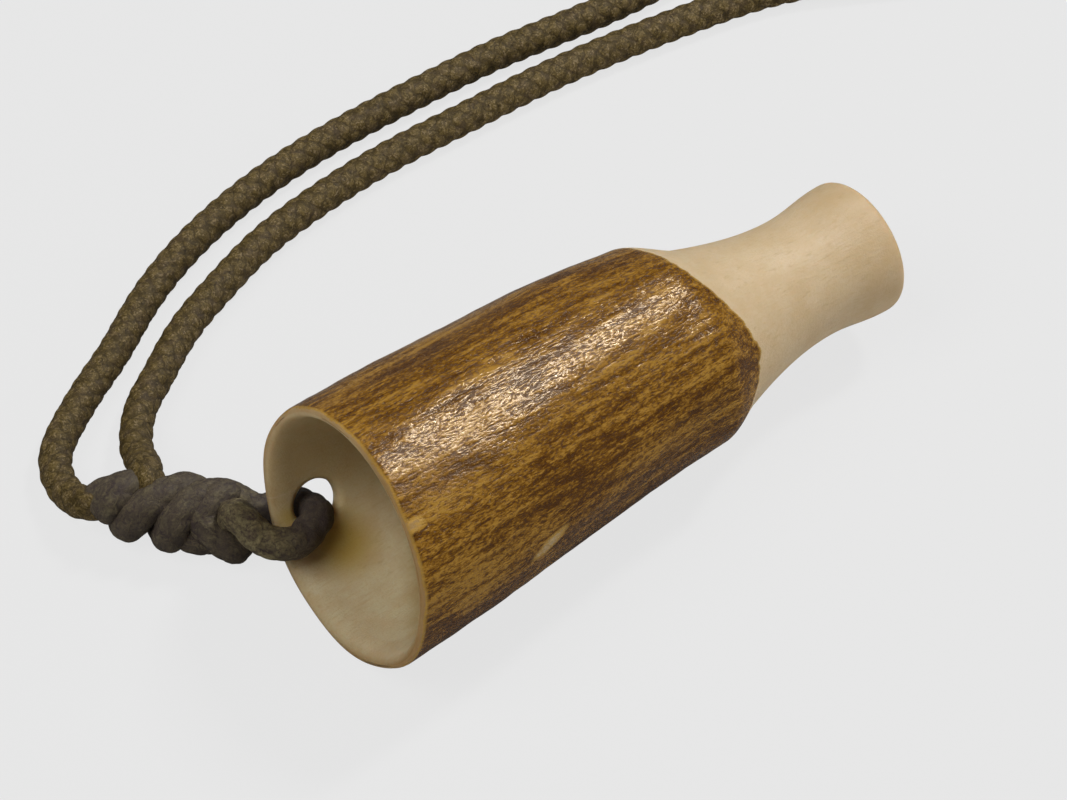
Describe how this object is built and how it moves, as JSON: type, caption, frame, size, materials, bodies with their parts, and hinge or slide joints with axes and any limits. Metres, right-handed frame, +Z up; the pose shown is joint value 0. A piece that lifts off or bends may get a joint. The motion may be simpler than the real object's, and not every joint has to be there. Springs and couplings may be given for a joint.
{
  "type": "rabbit distress call",
  "caption": "Antler-barrel predator call with a flared bell, turned mouthpiece, removable brass reed voice and a braided neck cord tied through the bell wall.",
  "frame": {"origin": "on the floor, under the middle of the call's own box without its cord", "axes": "+X from the bell towards the mouthpiece, +Z up, +Y towards the side where the cord is tied"},
  "size_m": [0.1478, 0.0768, 0.0247],
  "materials": {
    "antler": "polished antler, brown bark left on the barrel, pale turned neck and bell",
    "cork": "natural cork",
    "brass": "drawn and filed brass",
    "thread": "waxed thread",
    "cord": "round braid of synthetic yarn",
    "tie": "woven tape"
  },
  "bodies": {
    "call": {"antler_body": "antler", "cord_eye": "cord", "cord_knot": "cord", "cord_near_strand": "cord", "cord_far_strand": "cord", "cord_coil": "cord", "coil_tie": "tie"},
    "voice": {"reed_bush": "cork", "reed_shallot": "brass", "reed_binding": "thread"},
    "tongue": {"reed_tongue": "brass"}
  },
  "joints": [
    {"name": "voice_pull", "type": "slide", "parent": "call", "child": "voice", "axis": [0.9985, 0, -0.0553], "range_m": [0, 0.03]},
    {"name": "tongue_flex", "type": "hinge", "parent": "voice", "child": "tongue", "pos_m": [0.01556, -0.00011, 0.01066], "axis": [0, 1, 0], "range_deg": [-2.5, 2], "stiffness_Nm_per_rad": 0.05}
  ]
}
